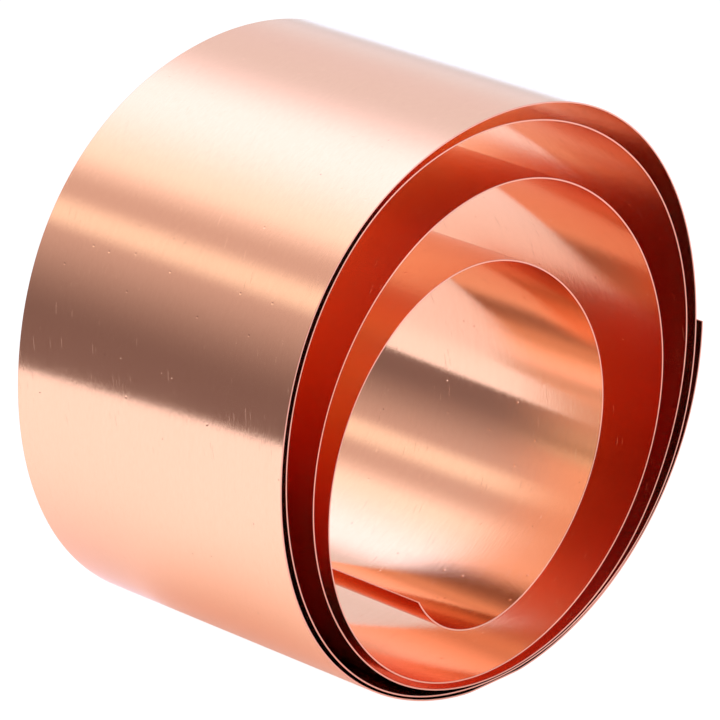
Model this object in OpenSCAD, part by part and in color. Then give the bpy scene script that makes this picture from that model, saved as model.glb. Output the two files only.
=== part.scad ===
// Loose roll of copper foil: one bare, springy strip wound on itself, lying on its side.
// The roll's axis runs along Y, at height axis_h. Seen from -Y the strip starts at its inner
// end, low on the left, and winds outward and anticlockwise to its outer end on the right.
// The strip is one piece of metal. Its nodes are lengths of it: the wound turns, and the two
// free ends, which are divided where they flex.

/* [Strip] */
// Width of the strip, along the axis of the roll
strip_w = 50; // [20:1:100]
// Thickness of the strip
strip_t = 0.2; // [0.1:0.01:0.2]
// Clear cut at each flex line of a free end
flex_cut = 0.05; // [0.02:0.01:0.2]

/* [Winding] */
// Direction of the inner end from the axis, in degrees anticlockwise from +X
inner_end = 237.5; // [237.5:0.5:255]
// Direction of the outer end, counted on through every turn
outer_end = 1799; // [1780:1:1815]
// Height of the axis above the flat foot that the roll stands on
axis_h = 41.95; // [41.8:0.01:42.2]
// Reach of the winding before the inner end, which sets how sharply that end is bent
lead_in = [20, 22.1]; // [0:0.05:40]
// Reach from the axis at each sixteenth of the first turn
turn_1 = [31.15, 33.6, 30.4, 26.7, 23.75, 21.15, 19.2, 18.2, 18.3, 19.5, 21.65, 24.2, 27.05, 30.55, 34.4, 37.75]; // [15:0.05:43]
// Reach from the axis at each sixteenth of the second turn
turn_2 = [39.8, 40.2, 39.45, 37.95, 36.2, 34.15, 32.35, 31.2, 30.8, 30.95, 31.2, 31.8, 33, 34.9, 37.15, 39.1]; // [15:0.05:43]
// Reach from the axis at each sixteenth of the third turn
turn_3 = [40.75, 41.15, 41.2, 41.35, 39.7, 39, 38.65, 38.6, 38.55, 38.95, 40.1, 41.45, 41.35, 41, 41.25, 42.25]; // [15:0.05:44]
// Reach from the axis at each sixteenth of the fourth turn
turn_4 = [42.3, 41.35, 41.65, 42, 42, 40.85, 40.8, 41.6, 41.8, 41.1, 41.15, 42.25, 42.45, 41.8, 42.45, 43.15]; // [15:0.05:44]
// Reach from the axis at each sixteenth after that, up to the outer end
lead_out = [42.65, 42.1, 42.05, 42.3, 42.5, 42.45, 42.15, 41.65]; // [15:0.05:44]

/* [Free ends] */
// Direction where the inner end leaves the wound turns
inner_root = 315; // [300:1:330]
// Number of flexing lengths in the inner end
inner_lengths = 5; // [5:5]
// Direction where the outer end leaves the wound turns, just past the foot
outer_root = 1719; // [1719:1:1725]
// Number of flexing lengths in the outer end
outer_lengths = 8; // [8:8]

/* [Hidden] */

// Direction of the last reach of lead_in, and the angle from each reach to the next
first_reach = 217.5;
sixteenth = 22.5;
// Angle between points of an outline
facet = 3;
quarter = 90;
// Small angle to either side over which a normal is measured
probe = 0.1;
reach = concat(lead_in, turn_1, turn_2, turn_3, turn_4, lead_out);
inner_step = (inner_root - inner_end) / inner_lengths;
outer_step = (outer_end - outer_root) / outer_lengths;

// Weights of four neighbouring reaches, a share f of the way between the middle two.
// They make a cubic B-spline, so the strip's curvature has no jumps.
function blend(f) = [
    pow(1 - f, 3),
    3 * pow(f, 3) - 6 * pow(f, 2) + 4,
    -3 * pow(f, 3) + 3 * pow(f, 2) + 3 * f + 1,
    pow(f, 3)
] / 6;

// Distance from the axis to the middle of the strip's thickness
function radius(a) =
    let(u = (a - first_reach) / sixteenth, i = max(0, min(floor(u), len(reach) - 4)))
    blend(u - i) * [reach[i], reach[i + 1], reach[i + 2], reach[i + 3]];

// Middle of the thickness, as [x, z] from the axis
function middle(a) = radius(a) * [cos(a), sin(a)];

// Outward unit normal of the strip
function outward(a) =
    let(d = middle(a + probe) - middle(a - probe))
    [d.y, -d.x] / norm(d);

// A point on the outer face (side 1) or the inner face (side -1), as [x, z] above the
// floor. The outermost turn is pressed flat where it stands.
function face_point(a, side) =
    let(p = middle(a) + side * strip_t / 2 * outward(a), lowest = (1 - side) * strip_t / 2)
    [p.x, max(p.y + axis_h, lowest)];

// Angle that a distance along the strip takes up at direction a
function angle_of(distance, a) = distance / radius(a) * 180 / PI;

// One length of the strip between directions a0 and a1
module strip(a0, a1) {
    steps = ceil((a1 - a0) / facet);
    angles = [for (i = [0 : steps]) a0 + (a1 - a0) * i / steps];
    outer_face = [for (a = angles) face_point(a, 1)];
    inner_face = [for (i = [steps : -1 : 0]) face_point(angles[i], -1)];
    rotate([90, 0, 0])
        linear_extrude(height = strip_w, center = true)
            polygon(concat(outer_face, inner_face));
}

// A quarter of a wound turn. Quarters run right, top, left, bottom, from inner_root on.
module wound_quarter(turn, index) {
    a0 = inner_root + quarter * (4 * (turn - 1) + index);
    color([0.86, 0.52, 0.40]) strip(a0, a0 + quarter);
}

// The part quarter of the last turn that the roll stands on
module foot() {
    color([0.86, 0.52, 0.40]) strip(inner_root + 15 * quarter, outer_root);
}

// One flexing length of the inner end, counted from the wound turns to the free tip
module inner_length(index) {
    a1 = inner_root - (index - 1) * inner_step;
    a0 = a1 - inner_step;
    tip = index == inner_lengths;
    cut_0 = tip ? 0 : angle_of(flex_cut / 2, a0);
    color([0.93, 0.62, 0.48]) strip(a0 + cut_0, a1 - angle_of(flex_cut / 2, a1));
}

// One flexing length of the outer end, counted from the foot to the free tip
module outer_length(index) {
    a0 = outer_root + (index - 1) * outer_step;
    a1 = a0 + outer_step;
    tip = index == outer_lengths;
    cut_1 = tip ? 0 : angle_of(flex_cut / 2, a1);
    color([0.78, 0.42, 0.32]) strip(a0 + angle_of(flex_cut / 2, a0), a1 - cut_1);
}

sides = ["right", "top", "left", "bottom"];

for (i = [1 : inner_lengths])
    inner_length(i);

for (turn = [1 : 3], index = [0 : 3])
    wound_quarter(turn, index);

for (index = [0 : 2])
    wound_quarter(4, index);

foot();  // turn_4_foot

for (i = [1 : outer_lengths])
    outer_length(i);
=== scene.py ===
"""Loose roll of copper foil: one bare, springy strip wound on itself, lying on its side.

The strip is drawn as lengths that meet without a seam. Each wound turn is two lengths, which ride
on the wound turns. Each flex line of the two free ends has one length, which spans it.
"""

import math

import bpy
import numpy as np
from mathutils import Matrix, Vector


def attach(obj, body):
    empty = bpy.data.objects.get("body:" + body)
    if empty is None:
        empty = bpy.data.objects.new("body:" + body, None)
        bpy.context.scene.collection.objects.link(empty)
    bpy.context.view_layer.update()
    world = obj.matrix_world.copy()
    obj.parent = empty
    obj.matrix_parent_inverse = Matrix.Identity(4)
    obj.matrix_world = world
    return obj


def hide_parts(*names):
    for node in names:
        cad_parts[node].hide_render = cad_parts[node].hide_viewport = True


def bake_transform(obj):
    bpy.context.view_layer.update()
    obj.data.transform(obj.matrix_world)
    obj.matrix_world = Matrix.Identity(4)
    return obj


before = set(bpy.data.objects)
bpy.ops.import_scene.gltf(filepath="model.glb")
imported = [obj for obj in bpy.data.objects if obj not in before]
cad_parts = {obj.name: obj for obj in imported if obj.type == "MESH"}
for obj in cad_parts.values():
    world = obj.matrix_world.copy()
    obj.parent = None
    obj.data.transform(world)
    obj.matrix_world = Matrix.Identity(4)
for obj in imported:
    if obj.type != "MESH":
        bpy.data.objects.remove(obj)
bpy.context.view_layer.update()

MM = 0.001

# The winding, as in the CAD source, in millimetres and degrees.
STRIP_W = 50.0
STRIP_T = 0.2
INNER_TIP = 237.5
OUTER_TIP = 1799.0
AXIS_H = 41.95
FIRST_REACH = 217.5
SIXTEENTH = 22.5
REACH = np.array([
    20, 22.1,
    31.15, 33.6, 30.4, 26.7, 23.75, 21.15, 19.2, 18.2,
    18.3, 19.5, 21.65, 24.2, 27.05, 30.55, 34.4, 37.75,
    39.8, 40.2, 39.45, 37.95, 36.2, 34.15, 32.35, 31.2,
    30.8, 30.95, 31.2, 31.8, 33, 34.9, 37.15, 39.1,
    40.75, 41.15, 41.2, 41.35, 39.7, 39, 38.65, 38.6,
    38.55, 38.95, 40.1, 41.45, 41.35, 41, 41.25, 42.25,
    42.3, 41.35, 41.65, 42, 42, 40.85, 40.8, 41.6,
    41.8, 41.1, 41.15, 42.25, 42.45, 41.8, 42.45, 43.15,
    42.65, 42.1, 42.05, 42.3, 42.5, 42.45, 42.15, 41.65,
])
INNER_ROOT = 315.0
INNER_STEP = 15.5
INNER_LENGTHS = 5
OUTER_ROOT = 1719.0
OUTER_STEP = 10.0
OUTER_LENGTHS = 8
TURNS = 4


# ---------------------------------------------------------------- camera

CAMERA_AZIMUTH = -46.306
CAMERA_ELEVATION = 22.214
CAMERA_DISTANCE = 0.751
CAMERA_TARGET = Vector((-0.0011, 0.0, 0.0411))
CAMERA_LENS = 272.25
CAMERA_SENSOR = 36.0
CAMERA_NEAR = 0.01
CAMERA_FAR = 10.0


def make_camera():
    """A camera in front, to the left and above, with a long lens."""
    a, e = math.radians(CAMERA_AZIMUTH), math.radians(CAMERA_ELEVATION)
    right = Vector((math.cos(a), math.sin(a), 0.0))
    back = Vector((math.sin(a) * math.cos(e), -math.cos(a) * math.cos(e), math.sin(e)))
    up = back.cross(right)
    data = bpy.data.cameras.new("camera")
    data.lens = CAMERA_LENS
    data.sensor_width = CAMERA_SENSOR
    data.clip_start = CAMERA_NEAR
    data.clip_end = CAMERA_FAR
    camera = bpy.data.objects.new("camera", data)
    turn = Matrix((right, up, back)).transposed().to_4x4()
    camera.matrix_world = Matrix.Translation(CAMERA_TARGET + back * CAMERA_DISTANCE) @ turn
    bpy.context.scene.collection.objects.link(camera)
    bpy.context.scene.camera = camera


make_camera()


# ---------------------------------------------------------------- the winding curve

# How far to each side a normal is measured: in degrees along the strip, in mm across it.
PROBE = 0.02
PROBE_ACROSS = 0.1
# How softly the outermost turn meets the flat foot that it stands on, in mm.
FOOT_SOFTNESS = 0.04
# Points at which the length of the strip is worked out, and how far they go past its tips.
ARC_POINTS = 40001
ARC_MARGIN = 1.0
# The foil's two ripples, one along its cut edges and one over its whole width: the height,
# and the lengths of strip in which the wave and its coming and going turn by one radian.
EDGE_RIPPLE = (0.004, 5.3, 37.0)
FACE_RIPPLE = (0.006, 8.9, 71.0)
# Where the ripples begin, and how much the second one slants across the strip, in radians.
EDGE_RIPPLE_START = 0.4
FACE_RIPPLE_START = 0.8
FACE_RIPPLE_SLANT = 1.3


def radius(a):
    """Reach from the axis at direction a, by a uniform cubic B-spline."""
    u = (a - FIRST_REACH) / SIXTEENTH
    i = np.clip(np.floor(u).astype(int), 0, len(REACH) - 4)
    f = u - i
    weights = (
        (1 - f) ** 3,
        3 * f ** 3 - 6 * f ** 2 + 4,
        -3 * f ** 3 + 3 * f ** 2 + 3 * f + 1,
        f ** 3,
    )
    return sum(w * REACH[i + k] for k, w in enumerate(weights)) / 6


def middle(a):
    """Middle of the strip's thickness at direction a, as x and height from the axis."""
    t = np.radians(a)
    return radius(a) * np.cos(t), radius(a) * np.sin(t)


def arc_table():
    """Directions along the strip, and the length of strip up to each."""
    a = np.linspace(INNER_TIP - ARC_MARGIN, OUTER_TIP + ARC_MARGIN, ARC_POINTS)
    x, z = middle(a)
    steps = np.hypot(np.diff(x), np.diff(z))
    return a, np.concatenate(([0.0], np.cumsum(steps)))


ARC_A, ARC_S = arc_table()


def length_to(a):
    """Length of strip from the inner tip to direction a."""
    return np.interp(a, ARC_A, ARC_S) - np.interp(INNER_TIP, ARC_A, ARC_S)


def ripple(s, y):
    """How far the foil stands out of true, from its rolling and handling."""
    across = y / (STRIP_W / 2)
    height, wave, swell = EDGE_RIPPLE
    at_edges = height * np.sin(s / wave + EDGE_RIPPLE_START) * np.sin(s / swell) * across ** 2
    height, wave, swell = FACE_RIPPLE
    slanted = np.sin(s / wave + FACE_RIPPLE_SLANT * across)
    return at_edges + height * slanted * np.sin(s / swell + FACE_RIPPLE_START)


def point_on(a, y, offset):
    """A point of the strip at direction a, y across it and offset out from its middle."""
    xa, za = middle(a + PROBE)
    xb, zb = middle(a - PROBE)
    long = np.hypot(xa - xb, za - zb)
    out_x, out_z = (za - zb) / long, (xb - xa) / long
    x, z = middle(a)
    lift = offset + ripple(length_to(a), y)
    height = z + lift * out_z + AXIS_H - (STRIP_T / 2 - offset)
    height = (height + np.sqrt(height ** 2 + 4 * FOOT_SOFTNESS ** 2)) / 2
    return np.stack((x + lift * out_x, y, height + STRIP_T / 2 - offset), -1)


def normal_on(a, y, offset):
    """Outward unit normal of the strip there, measured on the rippled face."""
    along = point_on(a + PROBE, y, offset) - point_on(a - PROBE, y, offset)
    across = point_on(a, y + PROBE_ACROSS, offset) - point_on(a, y - PROBE_ACROSS, offset)
    n = np.cross(across, along)
    return n / np.linalg.norm(n, axis=-1, keepdims=True)


# ---------------------------------------------------------------- meshes

# Radius of the sheared edges, in mm, and the steps in which it turns from face to edge.
CORNER = 0.03
CORNER_STEPS = 4
# Angle from one row of points to the next along the strip.
STATION = 1.0
# Width of the worn band beside an edge, and the columns of points between the two bands.
EDGE_BAND = 0.08
FACE_COLUMNS = 17
# Reach taken for both tips when the rounding of their ends is turned into an angle.
TIP_REACH = 40.0
# Step of the UV map from the end of the outer face to the start of the inner face, in mm.
UV_GAP = 1.0


def columns():
    """Across the strip: y, share of half the thickness, tilt to the side, and edge wear."""
    half_w, half_t = STRIP_W / 2, STRIP_T / 2
    tilts = [math.pi / 2 * k / CORNER_STEPS for k in range(CORNER_STEPS + 1)]
    corner = []
    for tilt in tilts:
        inset = CORNER * (1 - math.cos(tilt))
        rise = half_t - CORNER + CORNER * math.sin(tilt)
        corner.append((-half_w + inset, rise, math.pi / 2 - tilt, 1.0))
    flat_from = -half_w + CORNER + EDGE_BAND
    face = [(y, half_t, 0.0, 0.0) for y in np.linspace(flat_from, -flat_from, FACE_COLUMNS)]
    far = [(-y, rise, -tilt, wear) for y, rise, tilt, wear in reversed(corner)]
    return np.array(corner + face + far)


COLUMNS = columns()

# Stretches of one face where the copper is painted lighter and paler, as painted light, or darker
# and redder, as painted shade, in place of the light that bounces between the turns: the face (1
# outer, -1 inner), the directions that it lies between, and how strong it is.
PAINTED_LIGHT_STRETCHES = (
    (1, 500.0, 590.0, 0.7),
    (-1, 850.0, 940.0, 0.5),
    (1, 1095.0, 1200.0, 1.0),
    (-1, 1455.0, 1565.0, 1.0),
)
# The painted shade: darker, redder stretches of copper.
PAINTED_SHADE_STRETCHES = (
    (1, 265.0, 405.0, 1.0),
    (1, 435.0, 488.0, 0.8),
    (-1, 668.0, 735.0, 0.8),
    (1, 850.0, 930.0, 0.3),
    (-1, 1205.0, 1290.0, 0.3),
)
# Angle over which a stretch fades in at its start and out at its end.
STRETCH_FADE = 24.0


def stretch_share(stretches, a, side):
    """How strongly the stretches of one face show at each direction, from 0 to 1."""
    share = np.zeros_like(a)
    for face, start, end, strength in stretches:
        if face == side:
            inside = np.minimum(a - start, end - a) / STRETCH_FADE + 0.5
            inside = np.clip(inside, 0.0, 1.0)
            inside = inside * inside * (3 - 2 * inside)
            share = np.maximum(share, strength * inside)
    return share


def mark_stretches(mesh, name, stretches, a):
    """Writes the stretches' strength on both faces of a length to a mesh attribute."""
    faces = [stretch_share(stretches, a, side) for side in (1, -1)]
    values = np.concatenate([np.repeat(f[:, None], len(COLUMNS), 1) for f in faces], 1)
    mesh.attributes.new(name, "FLOAT", "POINT").data.foreach_set("value", values.ravel())


def stations(a0, a1):
    """Directions from a0 to a1, about one degree apart."""
    count = max(2, int(round((a1 - a0) / STATION)) + 1)
    return np.linspace(a0, a1, count)


def tip_stations(tip, inwards):
    """Directions close to a tip, with each one's share of thickness and tilt to the end."""
    reach = radius(np.array([tip]))[0]
    rows = []
    for k in range(CORNER_STEPS):
        tilt = math.pi / 2 * k / CORNER_STEPS
        back = math.degrees(CORNER * (1 - math.cos(tilt)) / reach)
        share = 1 - CORNER / (STRIP_T / 2) * (1 - math.sin(tilt))
        rows.append((tip + inwards * back, share, math.pi / 2 - tilt))
    return rows


def strip_rows(a0, a1):
    """Stations of one length, rounded off where it reaches a tip of the strip."""
    rows = [(a, 1.0, 0.0) for a in stations(a0, a1)]
    corner = math.degrees(CORNER / TIP_REACH)
    if a0 == INNER_TIP:
        rows[0] = (a0 + corner, 1.0, 0.0)
        rows = [(a, s, -t) for a, s, t in tip_stations(INNER_TIP, 1)] + rows
    if a1 == OUTER_TIP:
        rows[-1] = (a1 - corner, 1.0, 0.0)
        rows = rows + list(reversed(tip_stations(OUTER_TIP, -1)))
    return np.array(rows)


def side_of_strip(rows, sign):
    """Points and normals of the outer face (sign 1) or inner face (-1), edges included."""
    a = rows[:, 0][:, None] + 0 * COLUMNS[:, 0][None, :]
    y = COLUMNS[:, 0][None, :] + 0 * a
    offset = sign * COLUMNS[:, 1][None, :] * rows[:, 1][:, None]
    points = point_on(a, y, offset)
    face = sign * normal_on(a, y, offset)
    along = point_on(a + PROBE, y, offset) - point_on(a - PROBE, y, offset)
    along /= np.linalg.norm(along, axis=-1, keepdims=True)
    tilt_y = COLUMNS[:, 2][None, :, None]
    tilt_end = rows[:, 2][:, None, None]
    normal = face * np.cos(tilt_y) * np.cos(tilt_end) + along * np.sin(tilt_end)
    normal = normal - np.array([0.0, 1.0, 0.0]) * np.sin(tilt_y)
    normal /= np.linalg.norm(normal, axis=-1, keepdims=True)
    return points, normal


def strip_faces(n_rows):
    """Quads round the cross-section from row to row, and the quads that close both ends."""
    n_cols = len(COLUMNS)
    ring = 2 * n_cols
    sides = []
    for r in range(n_rows - 1):
        for c in range(ring):
            d = (c + 1) % ring
            sides.append((r * ring + c, r * ring + d, (r + 1) * ring + d, (r + 1) * ring + c))
    ends = []
    for r, flip in ((0, True), (n_rows - 1, False)):
        for c in range(n_cols - 1):
            quad = [r * ring + k for k in (c, c + 1, ring - 2 - c, ring - 1 - c)]
            ends.append(tuple(reversed(quad)) if flip else tuple(quad))
    return sides, ends


def make_strip(name, a0, a1, material):
    """One closed length of the strip between directions a0 and a1."""
    rows = strip_rows(a0, a1)
    top, top_normal = side_of_strip(rows, 1)
    low, low_normal = side_of_strip(rows, -1)
    points = np.concatenate((top, low[:, ::-1]), 1).reshape(-1, 3) * MM
    normals = np.concatenate((top_normal, low_normal[:, ::-1]), 1).reshape(-1, 3)
    sides, ends = strip_faces(len(rows))

    mesh = bpy.data.meshes.new(name)
    mesh.from_pydata(points.tolist(), [], sides + ends)
    set_uv(mesh, rows)
    mark_wear(mesh, rows)
    # Painted light and painted shade, written onto the mesh stretch by stretch.
    mark_stretches(mesh, "painted_light", PAINTED_LIGHT_STRETCHES, rows[:, 0])
    mark_stretches(mesh, "painted_shade", PAINTED_SHADE_STRETCHES, rows[:, 0])
    set_normals(mesh, normals, len(sides))
    mesh.materials.append(material)
    piece = bpy.data.objects.new(name, mesh)
    bpy.context.scene.collection.objects.link(piece)
    return piece


def mark_wear(mesh, rows):
    """Writes to a mesh attribute which points are on a worn edge or tip."""
    wear = np.concatenate((COLUMNS[:, 3], COLUMNS[::-1, 3]))
    tips = np.where(rows[:, 2] != 0, 1.0, 0.0)
    wear = np.maximum(wear[None, :], tips[:, None]).ravel()
    mesh.attributes.new("edge_wear", "FLOAT", "POINT").data.foreach_set("value", wear)


def set_uv(mesh, rows):
    """UVs in metres: u along the strip, v round its cross-section."""
    y = COLUMNS[:, 0] + STRIP_W / 2
    v = np.concatenate((y, STRIP_W + UV_GAP + y)) * MM
    u = length_to(rows[:, 0]) * MM
    ring = 2 * len(COLUMNS)
    layer = mesh.uv_layers.new(name="strip")
    index = np.zeros(len(mesh.loops), int)
    mesh.loops.foreach_get("vertex_index", index)
    uv = np.stack((u[index // ring], v[index % ring]), -1)
    layer.data.foreach_set("uv", uv.astype(np.float32).ravel())


def set_normals(mesh, normals, n_sides):
    """Smooth sides with the strip's own normals, and flat ends where two lengths meet."""
    smooth = np.arange(len(mesh.polygons)) < n_sides
    mesh.polygons.foreach_set("use_smooth", smooth)
    index = np.zeros(len(mesh.loops), int)
    mesh.loops.foreach_get("vertex_index", index)
    loop_normals = normals[index]
    for polygon in list(mesh.polygons)[n_sides:]:
        loop_normals[list(polygon.loop_indices)] = polygon.normal
    mesh.update()
    mesh.normals_split_custom_set(loop_normals.tolist())


# ---------------------------------------------------------------- material

COPPER = (0.850, 0.470, 0.290, 1.0)
DULL_COPPER = (0.755, 0.370, 0.215, 1.0)
# Painted light and painted shade: paler copper where more light bounces in between the turns,
# darker and redder copper where less does.
PAINTED_LIGHT_COPPER = (0.955, 0.74, 0.52, 1.0)
PAINTED_SHADE_COPPER = (0.81, 0.36, 0.20, 1.0)
CUT_COPPER = (0.72, 0.32, 0.22, 1.0)
# Tint of the copper at grazing angles.
EDGE_TINT = (0.97, 0.80, 0.74, 1.0)
TARNISH = (0.34, 0.13, 0.075, 1.0)

# Size of each kind of mark, along the strip and across it, in metres.
FINE_GRAIN = (0.0013, 0.00018)
FINE_GRAIN_WARP = 0.5
ROLLING_LINES = (0.09, 0.0006)
CLOUDS = (0.03, 0.012)
HAIRLINES = (0.0045, 0.00014)
# Slant of the hairline scratches, in degrees, and the noise that starts and ends one.
HAIRLINE_SLANT = 14.0
HAIRLINE_FROM = 0.80
HAIRLINE_TO = 0.86
# Spacing and size of the dents and of the tarnished specks, in metres, and the share kept.
DENTS = (0.0045, 0.00022, 0.25)
SPECKS = (0.0083, 0.00015, 0.15)

# How much each kind of mark dulls the tint, where 1 is dull copper. Grain above its middle
# dulls it, and grain below brightens it.
LINE_TONE = 0.12
CLOUD_TONE = 0.07
GRAIN_TONE = 0.5
GRAIN_MIDDLE = 0.5

# Roughness of plain copper, and what each kind of mark adds.
SMOOTHEST = 0.10
LINE_ROUGHNESS = 0.04
CLOUD_ROUGHNESS = 0.03
HAIRLINE_ROUGHNESS = 0.12
WEAR_ROUGHNESS = 0.20

# Depth of the fine grain, in metres, and the other marks' heights as multiples of it.
GRAIN_DEPTH = 0.000006
LINE_HEIGHT = 0.2
HAIRLINE_HEIGHT = -1.2
DENT_HEIGHT = -3.5

# Blur of the reflections across the rolling lines.
ANISOTROPY = 0.9
ANISOTROPY_TURN = 0.25


def add_node(tree, kind, **settings):
    """A new shader node, with its settings."""
    node = tree.nodes.new(kind)
    for key, value in settings.items():
        setattr(node, key, value)
    return node


def feed(tree, target, source):
    """Links source to a socket, or sets the socket to it when it is a number or colour."""
    if isinstance(source, bpy.types.NodeSocket):
        tree.links.new(source, target)
    else:
        target.default_value = source


def maths(tree, operation, a, b=0.0, c=0.0):
    """The result of a maths node on up to three sockets or numbers."""
    node = add_node(tree, "ShaderNodeMath", operation=operation)
    for socket, value in zip(node.inputs, (a, b, c)):
        feed(tree, socket, value)
    return node.outputs["Value"]


def remap(tree, value, low, high, to_low=0.0, to_high=1.0):
    """A value that eases from to_low to to_high as the given one goes from low to high."""
    node = add_node(tree, "ShaderNodeMapRange", interpolation_type="SMOOTHSTEP")
    for key, item in (
        ("Value", value), ("From Min", low), ("From Max", high),
        ("To Min", to_low), ("To Max", to_high),
    ):
        feed(tree, node.inputs[key], item)
    return node.outputs["Result"]


def mix(tree, share, first, second):
    """A colour that is the second one by the given share."""
    node = add_node(tree, "ShaderNodeMix", data_type="RGBA")
    feed(tree, node.inputs[0], share)
    feed(tree, node.inputs[6], first)
    feed(tree, node.inputs[7], second)
    return node.outputs[2]


def grain(tree, uv, size, detail, turn=0.0, warp=0.0):
    """Noise stretched along the strip, whose grains have about the given size."""
    along, across = size
    mapping = add_node(tree, "ShaderNodeMapping")
    feed(tree, mapping.inputs["Vector"], uv)
    mapping.inputs["Rotation"].default_value = (0.0, 0.0, math.radians(turn))
    stretch = add_node(tree, "ShaderNodeMapping")
    feed(tree, stretch.inputs["Vector"], mapping.outputs["Vector"])
    stretch.inputs["Scale"].default_value = (1 / along, 1 / across, 1.0)
    noise = add_node(tree, "ShaderNodeTexNoise", noise_dimensions="2D")
    feed(tree, noise.inputs["Vector"], stretch.outputs["Vector"])
    noise.inputs["Scale"].default_value = 1.0
    noise.inputs["Detail"].default_value = detail
    noise.inputs["Distortion"].default_value = warp
    return noise.outputs[0]


def pits(tree, uv, spacing, size, keep):
    """Small round spots, one in each cell of a scattered grid, of which few are kept."""
    cells = add_node(tree, "ShaderNodeTexVoronoi", voronoi_dimensions="2D")
    feed(tree, cells.inputs["Vector"], uv)
    cells.inputs["Scale"].default_value = 1 / spacing
    spot = remap(tree, cells.outputs["Distance"], 0.0, size / spacing, 1.0, 0.0)
    pick = add_node(tree, "ShaderNodeSeparateColor")
    feed(tree, pick.inputs["Color"], cells.outputs["Color"])
    kept = maths(tree, "LESS_THAN", pick.outputs["Red"], keep)
    return maths(tree, "MULTIPLY", spot, kept)


def attribute(tree, name):
    """The value of one of the mesh's own attributes."""
    return add_node(tree, "ShaderNodeAttribute", attribute_name=name).outputs["Fac"]


def copper_marks(tree):
    """The rolling lines, grain, clouds, hairline scratches and dents, and the edge wear."""
    uv = add_node(tree, "ShaderNodeUVMap", uv_map="strip").outputs["UV"]
    hair = grain(tree, uv, HAIRLINES, 1.0, turn=HAIRLINE_SLANT)
    return {
        "fine": grain(tree, uv, FINE_GRAIN, 2.0, warp=FINE_GRAIN_WARP),
        "lines": grain(tree, uv, ROLLING_LINES, 4.0),
        "clouds": grain(tree, uv, CLOUDS, 3.0),
        "hair": remap(tree, hair, HAIRLINE_FROM, HAIRLINE_TO),
        "dents": pits(tree, uv, *DENTS),
        "specks": pits(tree, uv, *SPECKS),
        "wear": attribute(tree, "edge_wear"),
    }


def copper_tint(tree, marks):
    """Copper dulled by its grain, with painted light and painted shade in stretches, and darker
    where it is cut.
    """
    tone = maths(tree, "MULTIPLY", marks["clouds"], CLOUD_TONE)
    tone = maths(tree, "MULTIPLY_ADD", marks["lines"], LINE_TONE, tone)
    fine = maths(tree, "SUBTRACT", marks["fine"], GRAIN_MIDDLE)
    tone = maths(tree, "MULTIPLY_ADD", fine, GRAIN_TONE, tone)
    tint = mix(tree, tone, COPPER, DULL_COPPER)
    # Painted light, then painted shade, laid over the copper's own tint.
    tint = mix(tree, attribute(tree, "painted_light"), tint, PAINTED_LIGHT_COPPER)
    tint = mix(tree, attribute(tree, "painted_shade"), tint, PAINTED_SHADE_COPPER)
    tint = mix(tree, marks["specks"], tint, TARNISH)
    return mix(tree, marks["wear"], tint, CUT_COPPER)


def copper_roughness(tree, marks):
    """A bright rolled face, rougher along its lines, scratches and cut edges."""
    rough = maths(tree, "MULTIPLY_ADD", marks["lines"], LINE_ROUGHNESS, SMOOTHEST)
    rough = maths(tree, "MULTIPLY_ADD", marks["clouds"], CLOUD_ROUGHNESS, rough)
    rough = maths(tree, "MULTIPLY_ADD", marks["hair"], HAIRLINE_ROUGHNESS, rough)
    return maths(tree, "MULTIPLY_ADD", marks["wear"], WEAR_ROUGHNESS, rough)


def copper_relief(tree, marks):
    """The bump of the grain, with scratches and dents sunk into it."""
    height = maths(tree, "MULTIPLY_ADD", marks["lines"], LINE_HEIGHT, marks["fine"])
    height = maths(tree, "MULTIPLY_ADD", marks["hair"], HAIRLINE_HEIGHT, height)
    height = maths(tree, "MULTIPLY_ADD", marks["dents"], DENT_HEIGHT, height)
    bump = add_node(tree, "ShaderNodeBump")
    bump.inputs["Strength"].default_value = 1.0
    bump.inputs["Distance"].default_value = GRAIN_DEPTH
    tree.links.new(height, bump.inputs["Height"])
    return bump.outputs["Normal"]


def make_copper():
    """Bright rolled copper: rolling lines, fine grain, hairline scratches, dents, worn edges."""
    material = bpy.data.materials.new("bright_copper")
    material.use_nodes = True
    tree = material.node_tree
    tree.nodes.clear()
    output = add_node(tree, "ShaderNodeOutputMaterial")
    shader = add_node(tree, "ShaderNodeBsdfPrincipled")
    tree.links.new(shader.outputs["BSDF"], output.inputs["Surface"])
    marks = copper_marks(tree)
    tree.links.new(copper_tint(tree, marks), shader.inputs["Base Color"])
    tree.links.new(copper_roughness(tree, marks), shader.inputs["Roughness"])
    tree.links.new(copper_relief(tree, marks), shader.inputs["Normal"])
    tangent = add_node(tree, "ShaderNodeTangent", direction_type="UV_MAP", uv_map="strip")
    tree.links.new(tangent.outputs["Tangent"], shader.inputs["Tangent"])
    shader.inputs["Anisotropic"].default_value = ANISOTROPY
    shader.inputs["Anisotropic Rotation"].default_value = ANISOTROPY_TURN
    shader.inputs["Metallic"].default_value = 1.0
    shader.inputs["Specular Tint"].default_value = EDGE_TINT
    return material


copper = make_copper()


# ---------------------------------------------------------------- the roll

def wound_lengths():
    """The wound turns, two lengths to a turn, with the CAD nodes each one stands for."""
    half_turn = 180.0
    first = INNER_ROOT + INNER_STEP / 2
    last = OUTER_ROOT - OUTER_STEP / 2
    for turn in range(1, TURNS + 1):
        start = INNER_ROOT + 2 * half_turn * (turn - 1)
        upper = (max(start, first), start + half_turn)
        lower = (start + half_turn, min(start + 2 * half_turn, last))
        bottom = "foot" if turn == TURNS else "bottom"
        halves = (
            ("upper", upper, ("right", "top")),
            ("lower", lower, ("left", bottom)),
        )
        for part, (a0, a1), sides in halves:
            piece = make_strip(f"foil_turn_{turn}_{part}", a0, a1, copper)
            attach(piece, "wound_turns")
            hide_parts(*[f"turn_{turn}_{side}" for side in sides])


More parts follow.
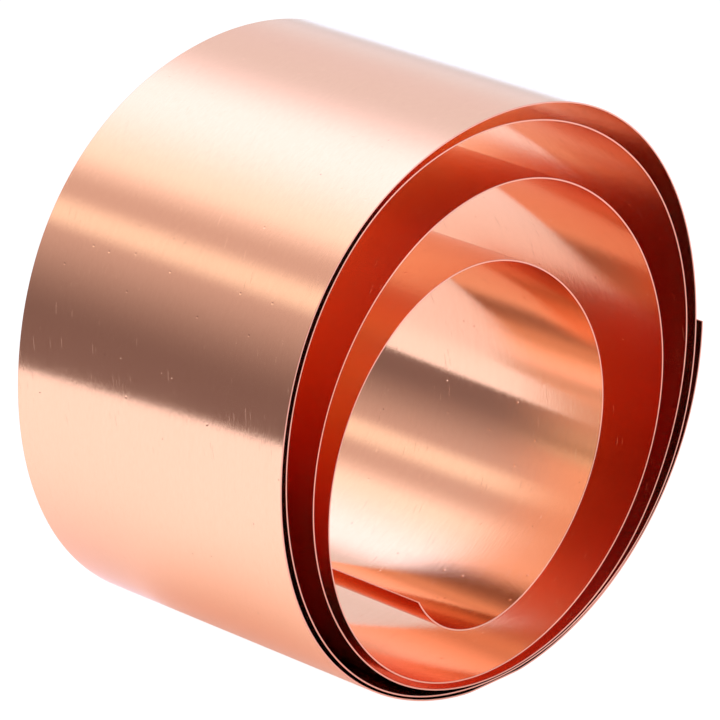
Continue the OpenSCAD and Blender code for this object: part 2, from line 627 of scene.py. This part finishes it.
def inner_end_lengths():
    """The inner end, one length across each flex line, the last one up to the tip."""
    for k in range(1, INNER_LENGTHS + 1):
        hinge = INNER_ROOT - INNER_STEP * (k - 1)
        near = hinge + INNER_STEP / 2
        far = hinge - INNER_STEP / 2
        end = INNER_TIP if k == INNER_LENGTHS else far
        piece = make_strip(f"foil_inner_end_{k}", end, near, copper)
        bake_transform(piece)
        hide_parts(f"inner_end_{k}")


def outer_end_lengths():
    """The outer end, one length across each flex line, the last one up to the tip."""
    for k in range(1, OUTER_LENGTHS + 1):
        hinge = OUTER_ROOT + OUTER_STEP * (k - 1)
        near = hinge - OUTER_STEP / 2
        far = hinge + OUTER_STEP / 2
        end = OUTER_TIP if k == OUTER_LENGTHS else far
        piece = make_strip(f"foil_outer_end_{k}", near, end, copper)
        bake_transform(piece)
        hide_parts(f"outer_end_{k}")


wound_lengths()
inner_end_lengths()
outer_end_lengths()


# ---------------------------------------------------------------- stage and light

# The table ends close behind the roll, and far off on its other sides, in metres.
FLOOR_BACK = 0.140
FLOOR_FAR = 3.0
FLOOR_WHITE = (0.78, 0.78, 0.78, 1.0)
# Light that the table gives off, in place of studio light from out of view.
FLOOR_GLOW = 0.30
# Height of the glare above the table, and how much of the table it hides.
GLARE_LIFT = 0.000003
GLARE_SHARE = 0.93
# The white that the glare and the backdrop show the camera.
WHITE = (1.0, 1.0, 1.0, 1.0)
WHITE_LIGHT = 1.05
DOME_RADIUS = 4.0
DOME_RINGS = 12
DOME_SECTORS = 48
# Times that light may bounce before it is dropped.
BOUNCES = 32

# The room as seen round the roll's axis, in degrees above the horizon from +X. Each row is what
# is seen, where it starts, over how many degrees it fades in, where it ends, over how many it
# fades out, and its light. A row covers the rows before it. The rest of the room is in shade.
ROOM_SHADE = (0.27, 0.22, 0.25, 1.0)
ROOM = (
    ("low wall", -150.0, 20.0, 20.0, 60.0, (1.24, 1.45, 1.82, 1.0)),
    ("dim wall", 40.0, 30.0, 160.0, 44.0, (0.85, 0.75, 0.82, 1.0)),
    ("near wall", -8.0, 10.0, 100.0, 30.0, (1.00, 1.18, 1.55, 1.0)),
    ("table edge", -16.0, 10.0, -5.0, 8.0, (1.20, 1.75, 2.25, 1.0)),
    ("gap behind the table", -5.0, 8.0, 3.0, 8.0, (0.80, 1.04, 1.22, 1.0)),
    ("skirting", 4.0, 8.0, 16.0, 20.0, (1.00, 1.34, 1.73, 1.0)),
    ("far end of the panel", 72.0, 12.0, 118.0, 17.0, (1.55, 1.57, 1.77, 1.0)),
    ("soft panel", 57.5, 28.0, 96.0, 40.0, (1.75, 2.04, 2.93, 1.0)),
    ("lamp", 134.0, 8.0, 144.5, 8.0, (1.37, 1.36, 1.41, 1.0)),
)


def make_room():
    """Light from a long soft panel, a lamp and pale walls, all parallel to the roll."""
    world = bpy.data.worlds.new("room")
    bpy.context.scene.world = world
    world.use_nodes = True
    tree = world.node_tree
    tree.nodes.clear()
    output = add_node(tree, "ShaderNodeOutputWorld")
    background = add_node(tree, "ShaderNodeBackground")
    tree.links.new(background.outputs["Background"], output.inputs["Surface"])
    direction = add_node(tree, "ShaderNodeTexCoord").outputs["Generated"]
    parts = add_node(tree, "ShaderNodeSeparateXYZ")
    tree.links.new(direction, parts.inputs["Vector"])
    angle = maths(tree, "ARCTAN2", parts.outputs["Z"], parts.outputs["X"])
    angle = maths(tree, "DEGREES", angle)
    seen = ROOM_SHADE
    for _, start, fade_in, end, fade_out, light in ROOM:
        started = remap(tree, angle, start - fade_in / 2, start + fade_in / 2)
        not_ended = remap(tree, angle, end - fade_out / 2, end + fade_out / 2, 1.0, 0.0)
        seen = mix(tree, maths(tree, "MULTIPLY", started, not_ended), seen, light)
    tree.links.new(seen, background.inputs["Color"])


def make_floor():
    """A plain pale table top, whose back edge the foil mirrors as a sharp line."""
    corners = (
        (-FLOOR_FAR, -FLOOR_FAR), (FLOOR_FAR, -FLOOR_FAR),
        (FLOOR_FAR, FLOOR_BACK), (-FLOOR_FAR, FLOOR_BACK),
    )
    mesh = bpy.data.meshes.new("floor")
    mesh.from_pydata([(x, y, 0.0) for x, y in corners], [], [(0, 1, 2, 3)])
    material = bpy.data.materials.new("floor_white")
    material.use_nodes = True
    shader = material.node_tree.nodes["Principled BSDF"]
    shader.inputs["Base Color"].default_value = FLOOR_WHITE
    shader.inputs["Roughness"].default_value = 1.0
    shader.inputs["Specular IOR Level"].default_value = 0.0
    shader.inputs["Emission Color"].default_value = WHITE
    shader.inputs["Emission Strength"].default_value = FLOOR_GLOW
    mesh.materials.append(material)
    floor = bpy.data.objects.new("floor", mesh)
    bpy.context.scene.collection.objects.link(floor)


def make_table_glare():
    """The glare that washes out most of the table top, seen by the camera alone."""
    corners = (
        (-FLOOR_FAR, -FLOOR_FAR), (FLOOR_FAR, -FLOOR_FAR),
        (FLOOR_FAR, FLOOR_FAR), (-FLOOR_FAR, FLOOR_FAR),
    )
    mesh = bpy.data.meshes.new("glare")
    mesh.from_pydata([(x, y, GLARE_LIFT) for x, y in corners], [], [(0, 1, 2, 3)])
    material = bpy.data.materials.new("glare_white")
    material.use_nodes = True
    tree = material.node_tree
    tree.nodes.clear()
    output = add_node(tree, "ShaderNodeOutputMaterial")
    blend = add_node(tree, "ShaderNodeMixShader")
    clear = add_node(tree, "ShaderNodeBsdfTransparent")
    white = add_node(tree, "ShaderNodeEmission")
    white.inputs["Strength"].default_value = WHITE_LIGHT
    blend.inputs["Fac"].default_value = GLARE_SHARE
    tree.links.new(clear.outputs["BSDF"], blend.inputs[1])
    tree.links.new(white.outputs["Emission"], blend.inputs[2])
    tree.links.new(blend.outputs["Shader"], output.inputs["Surface"])
    mesh.materials.append(material)
    glare = bpy.data.objects.new("glare", mesh)
    bpy.context.scene.collection.objects.link(glare)
    camera_only(glare)


def camera_only(thing):
    """Lets the camera see a thing that lights and reflections miss."""
    thing.visible_diffuse = False
    thing.visible_glossy = False
    thing.visible_transmission = False
    thing.visible_volume_scatter = False
    thing.visible_shadow = False


# The key light's middle and side, in metres, and its power, in watts.
KEY_PLACE = Vector((0.0, -0.9, 1.1))
KEY_SIZE = 0.7
KEY_POWER = 5.0


def make_key_light():
    """A soft key light in front and above, whose shadow falls behind the roll."""
    data = bpy.data.lights.new("key", "AREA")
    data.shape = "SQUARE"
    data.size = KEY_SIZE
    data.energy = KEY_POWER
    light = bpy.data.objects.new("key", data)
    aim = CAMERA_TARGET - KEY_PLACE
    turn = aim.to_track_quat("-Z", "Y").to_matrix().to_4x4()
    light.matrix_world = Matrix.Translation(KEY_PLACE) @ turn
    bpy.context.scene.collection.objects.link(light)


def dome():
    """Points and faces of a sphere round the scene."""
    points = []
    for r in range(DOME_RINGS + 1):
        rise = math.pi * (r / DOME_RINGS - 0.5)
        for s in range(DOME_SECTORS):
            turn = 2 * math.pi * s / DOME_SECTORS
            points.append((
                DOME_RADIUS * math.cos(rise) * math.cos(turn),
                DOME_RADIUS * math.cos(rise) * math.sin(turn),
                DOME_RADIUS * math.sin(rise),
            ))
    faces = []
    for r in range(DOME_RINGS):
        low, high = r * DOME_SECTORS, (r + 1) * DOME_SECTORS
        for s in range(DOME_SECTORS):
            t = (s + 1) % DOME_SECTORS
            faces.append((low + s, low + t, high + t, high + s))
    return points, faces


def make_backdrop():
    """A white backdrop round the scene that only the camera sees."""
    points, faces = dome()
    mesh = bpy.data.meshes.new("backdrop")
    mesh.from_pydata(points, [], faces)
    material = bpy.data.materials.new("backdrop_white")
    material.use_nodes = True
    tree = material.node_tree
    tree.nodes.clear()
    output = add_node(tree, "ShaderNodeOutputMaterial")
    emission = add_node(tree, "ShaderNodeEmission")
    emission.inputs["Color"].default_value = WHITE
    emission.inputs["Strength"].default_value = WHITE_LIGHT
    tree.links.new(emission.outputs["Emission"], output.inputs["Surface"])
    mesh.materials.append(material)
    backdrop = bpy.data.objects.new("backdrop", mesh)
    bpy.context.scene.collection.objects.link(backdrop)
    camera_only(backdrop)


def set_light_paths():
    """Foil mirrors foil many times between the turns, so light may bounce often."""
    scene = bpy.context.scene
    scene.view_settings.view_transform = "Standard"
    scene.cycles.max_bounces = BOUNCES
    scene.cycles.glossy_bounces = BOUNCES
    scene.cycles.blur_glossy = 0.0


make_room()
make_floor()
make_table_glare()
make_key_light()
make_backdrop()
set_light_paths()
